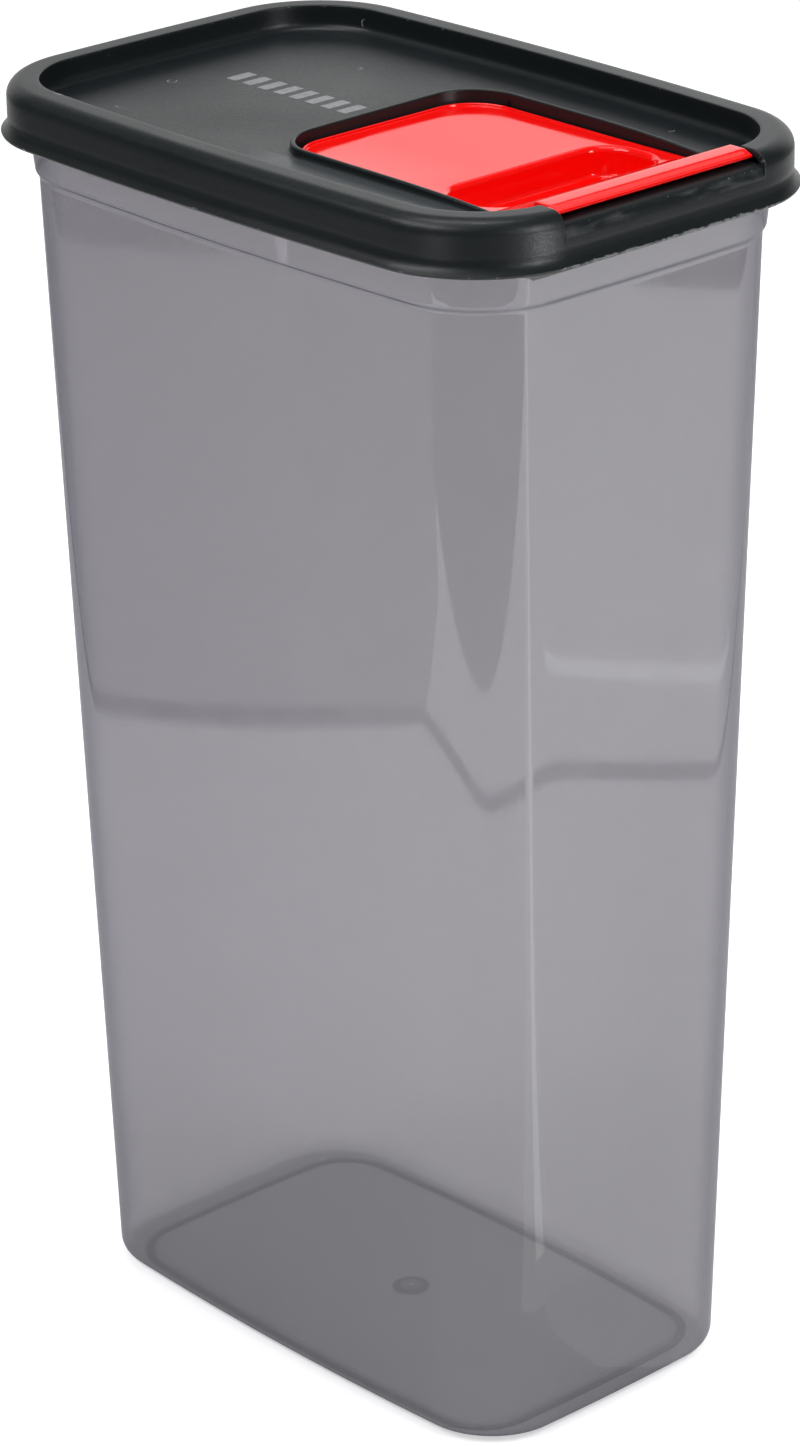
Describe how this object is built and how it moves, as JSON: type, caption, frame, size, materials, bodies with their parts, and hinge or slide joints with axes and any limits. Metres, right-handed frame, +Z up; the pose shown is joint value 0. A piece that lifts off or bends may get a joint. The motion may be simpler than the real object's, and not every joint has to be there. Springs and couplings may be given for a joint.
{
  "type": "cereal container with flip spout",
  "caption": "Tall tapered food container with a lift-off lid; a hinged flap with a finger trough and tab opens the pouring hole at one end.",
  "frame": {"origin": "centre of the resting face, at the height of the foot ring's underside", "axes": "+Z up, +X towards the pouring end, Y across the narrow width"},
  "size_m": [0.1752, 0.1172, 0.3],
  "materials": {
    "smoke_plastic": "glossy translucent smoke grey",
    "lid_plastic": "fine satin grain",
    "flap_plastic": "polished"
  },
  "bodies": {
    "container": {"container_body": "smoke_plastic"},
    "lid": {"lid": "lid_plastic"},
    "flap": {"pouring_flap": "flap_plastic"}
  },
  "joints": [
    {"name": "lid_lift", "type": "slide", "parent": "container", "child": "lid", "axis": [0, 0, 1], "range_m": [0, 0.06]},
    {"name": "flap_hinge", "type": "hinge", "parent": "lid", "child": "flap", "pos_m": [0.006, 0, 0.291], "axis": [0, -1, 0], "range_deg": [0, 100]}
  ]
}
